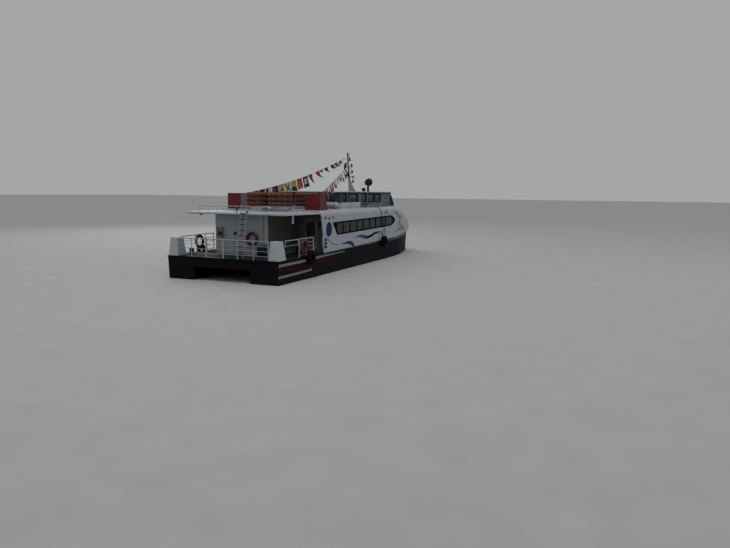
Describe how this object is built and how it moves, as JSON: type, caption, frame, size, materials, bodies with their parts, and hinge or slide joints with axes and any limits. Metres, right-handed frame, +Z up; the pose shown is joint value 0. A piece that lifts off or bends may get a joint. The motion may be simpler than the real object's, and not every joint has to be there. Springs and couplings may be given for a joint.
{
  "type": "twin-hulled passenger ferry",
  "caption": "Passenger ferry on two slender hulls, with an open aft deck, a long glazed cabin, an upper wheelhouse and a mast.",
  "frame": {"origin": "on the centreline amidships at the waterline", "axes": "+X forward to the bow, +Y to port, +Z up"},
  "size_m": [22.55, 7.582, 9.32],
  "materials": {
    "hull_navy": "navy gloss paint, weathered",
    "deck_green": "dark green non-slip deck paint",
    "black_rubber": "black rubber, scuffed",
    "white_paint": "white gloss marine paint",
    "white_rail": "white paint on steel tube",
    "dark_glass": "tinted glass",
    "seat_fabric": "blue woven seat covers",
    "black_fitting": "black satin paint",
    "red_paint": "deep red paint",
    "float_orange": "orange woven cover",
    "buoy_red": "orange-red plastic",
    "engine_grey": "grey-green engine paint",
    "shaft_steel": "stainless steel",
    "bronze": "cast propeller bronze"
  },
  "bodies": {
    "ship": {"hull_starboard": "hull_navy", "hull_port": "hull_navy", "bridge_deck": "deck_green", "rub_rail": "black_rubber", "tyre_fender_aft_starboard": "black_rubber", "tyre_fender_aft_port": "black_rubber", "tyre_fender_forward_starboard": "black_rubber", "tyre_fender_forward_port": "black_rubber", "bulwark_starboard": "white_paint", "bulwark_port": "white_paint", "deckhouse": "white_paint", "aft_roof": "white_paint", "cabin_side_starboard": "white_paint", "cabin_side_port": "white_paint", "cabin_bulkhead": "white_paint", "cabin_roof": "white_paint", "bow_shell": "white_paint", "upper_house": "white_paint", "upper_roof": "white_paint", "raft_canister": "white_paint", "side_duct_starboard": "white_paint", "side_duct_port": "white_paint", "stern_rail": "white_rail", "side_rail_starboard": "white_rail", "side_rail_port": "white_rail", "ladder": "white_rail", "roof_rail": "white_rail", "mast": "white_rail", "searchlight_post": "white_rail", "side_window_starboard": "dark_glass", "side_window_port": "dark_glass", "upper_windows": "dark_glass", "passenger_seats": "seat_fabric", "helm": "black_fitting", "bollard_starboard": "black_fitting", "bollard_port": "black_fitting", "engine_casing_starboard": "red_paint", "engine_casing_port": "red_paint", "life_floats_aft": "float_orange", "life_floats_forward": "float_orange", "lifebuoy_deckhouse": "buoy_red", "lifebuoy_starboard": "buoy_red", "lifebuoy_port": "buoy_red", "engine_starboard": "engine_grey", "engine_port": "engine_grey", "shaft_starboard": "shaft_steel", "shaft_port": "shaft_steel"},
    "stern_gate": {"stern_gate": "white_rail"},
    "side_gate_starboard": {"side_gate_starboard": "white_rail"},
    "side_gate_port": {"side_gate_port": "white_rail"},
    "deckhouse_door": {"deckhouse_door": "white_paint"},
    "cabin_door_starboard": {"cabin_door_starboard": "white_paint"},
    "cabin_door_port": {"cabin_door_port": "white_paint"},
    "engine_hatch_starboard": {"engine_hatch_starboard": "deck_green"},
    "engine_hatch_port": {"engine_hatch_port": "deck_green"},
    "searchlight": {"searchlight": "black_fitting"},
    "propeller_starboard": {"propeller_starboard": "bronze"},
    "propeller_port": {"propeller_port": "bronze"},
    "rudder_starboard": {"rudder_starboard": "shaft_steel"},
    "rudder_port": {"rudder_port": "shaft_steel"}
  },
  "joints": [
    {"name": "stern_gate_swing", "type": "hinge", "parent": "ship", "child": "stern_gate", "pos_m": [-11.28, 0.94, 1.8], "axis": [0, 0, 1], "range_deg": [0, 100]},
    {"name": "deckhouse_door_swing", "type": "hinge", "parent": "ship", "child": "deckhouse_door", "pos_m": [-9.04, 1.716, 2.2], "axis": [0, 0, 1], "range_deg": [0, 95]},
    {"name": "searchlight_turn", "type": "hinge", "parent": "ship", "child": "searchlight", "pos_m": [6.65, -0.77, 5.25], "axis": [0, 0, 1], "range_deg": [-170, 170]},
    {"name": "side_gate_swing_starboard", "type": "hinge", "parent": "ship", "child": "side_gate_starboard", "pos_m": [-10.5, -3.38, 2.08], "axis": [0, 0, 1], "range_deg": [0, 95]},
    {"name": "cabin_door_swing_starboard", "type": "hinge", "parent": "ship", "child": "cabin_door_starboard", "pos_m": [-6.062, -2.89, 2.2], "axis": [0, 0, 1], "range_deg": [0, 95]},
    {"name": "engine_hatch_lift_starboard", "type": "hinge", "parent": "ship", "child": "engine_hatch_starboard", "pos_m": [-7.87, -3.11, 1.28], "axis": [1, 0, 0], "range_deg": [0, 100]},
    {"name": "propeller_spin_starboard", "type": "hinge", "parent": "ship", "child": "propeller_starboard", "pos_m": [-10.45, -2.65, -0.74], "axis": [1, 0, 0], "continuous": true},
    {"name": "rudder_turn_starboard", "type": "hinge", "parent": "ship", "child": "rudder_starboard", "pos_m": [-11.02, -2.65, -0.7], "axis": [0, 0, 1], "range_deg": [-35, 35]},
    {"name": "side_gate_swing_port", "type": "hinge", "parent": "ship", "child": "side_gate_port", "pos_m": [-10.5, 3.38, 2.08], "axis": [0, 0, -1], "range_deg": [0, 95]},
    {"name": "cabin_door_swing_port", "type": "hinge", "parent": "ship", "child": "cabin_door_port", "pos_m": [-6.062, 2.89, 2.2], "axis": [0, 0, -1], "range_deg": [0, 95]},
    {"name": "engine_hatch_lift_port", "type": "hinge", "parent": "ship", "child": "engine_hatch_port", "pos_m": [-7.87, 3.11, 1.28], "axis": [-1, 0, 0], "range_deg": [0, 100]},
    {"name": "propeller_spin_port", "type": "hinge", "parent": "ship", "child": "propeller_port", "pos_m": [-10.45, 2.65, -0.74], "axis": [1, 0, 0], "continuous": true},
    {"name": "rudder_turn_port", "type": "hinge", "parent": "ship", "child": "rudder_port", "pos_m": [-11.02, 2.65, -0.7], "axis": [0, 0, 1], "range_deg": [-35, 35]}
  ],
  "couplings": [
    {"joint": "rudder_turn_port", "follows": "rudder_turn_starboard", "ratio": 1}
  ]
}
